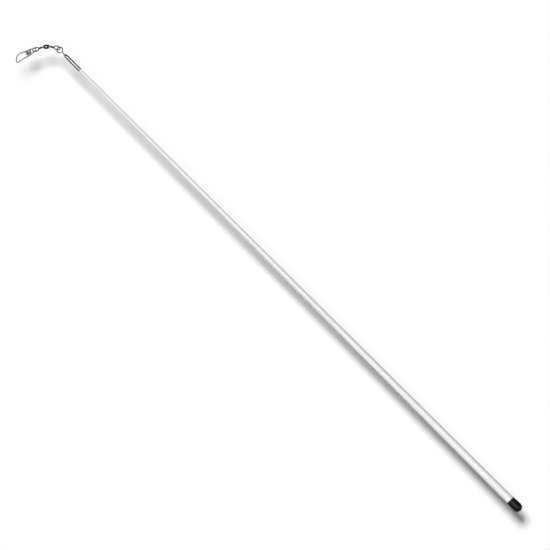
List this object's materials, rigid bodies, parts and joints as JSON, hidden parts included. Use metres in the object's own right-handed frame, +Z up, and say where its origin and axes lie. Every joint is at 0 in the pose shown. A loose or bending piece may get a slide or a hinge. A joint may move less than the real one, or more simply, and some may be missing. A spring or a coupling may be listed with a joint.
{
  "type": "swivel wand",
  "caption": "Slim tapered white wand with a black butt cap and a metal ferrule whose eye carries a barrel swivel and a wire snap.",
  "frame": {"origin": "under the middle of the whole wand's bounding box, on the surface that it lies on", "axes": "+X along the rod from the butt cap to the tip, +Y towards the side the swivel and snap are laid out on, +Z up"},
  "size_m": [0.58, 0.0378, 0.0083],
  "materials": {
    "white_fibreglass": "smooth white gel coat",
    "black_rubber": "satin moulded vinyl",
    "bright_nickel": "polished nickel plate",
    "steel_wire": "drawn spring wire",
    "black_nickel": "dark nickel plate",
    "snap_plate": "dull plated brass sheet"
  },
  "bodies": {
    "wand": {"rod": "white_fibreglass", "butt_cap": "black_rubber", "tip_ferrule": "bright_nickel", "tip_eye": "bright_nickel"},
    "rod_side_eye": {"swivel_eye_rod_side": "black_nickel"},
    "barrel": {"swivel_barrel": "black_nickel"},
    "snap_side_eye": {"swivel_eye_snap_side": "black_nickel"},
    "snap": {"snap_wire": "steel_wire", "snap_plate": "snap_plate"},
    "snap_gate": {"snap_free_arm": "steel_wire"}
  },
  "joints": [
    {"name": "link_swing", "type": "hinge", "parent": "wand", "child": "rod_side_eye", "pos_m": [0.26739, -0.01475, 0.00416], "axis": [0, 0, 1], "range_deg": [-175, 80]},
    {"name": "barrel_spin", "type": "hinge", "parent": "rod_side_eye", "child": "barrel", "pos_m": [0.27576, -0.01065, 0.00416], "axis": [0.83, 0.5577, 0], "continuous": true},
    {"name": "snap_side_spin", "type": "hinge", "parent": "barrel", "child": "snap_side_eye", "pos_m": [0.27942, -0.00635, 0.00416], "axis": [0.4399, 0.898, 0], "continuous": true},
    {"name": "snap_swing", "type": "hinge", "parent": "snap_side_eye", "child": "snap", "pos_m": [0.28344, 0.00187, 0.00416], "axis": [0, 0, 1], "range_deg": [-115, 80]},
    {"name": "snap_open", "type": "hinge", "parent": "snap", "child": "snap_gate", "pos_m": [0.28493, 0.01634, 0.00416], "axis": [0, 0, 1], "range_deg": [0, 25], "stiffness_Nm_per_rad": 0.2}
  ]
}
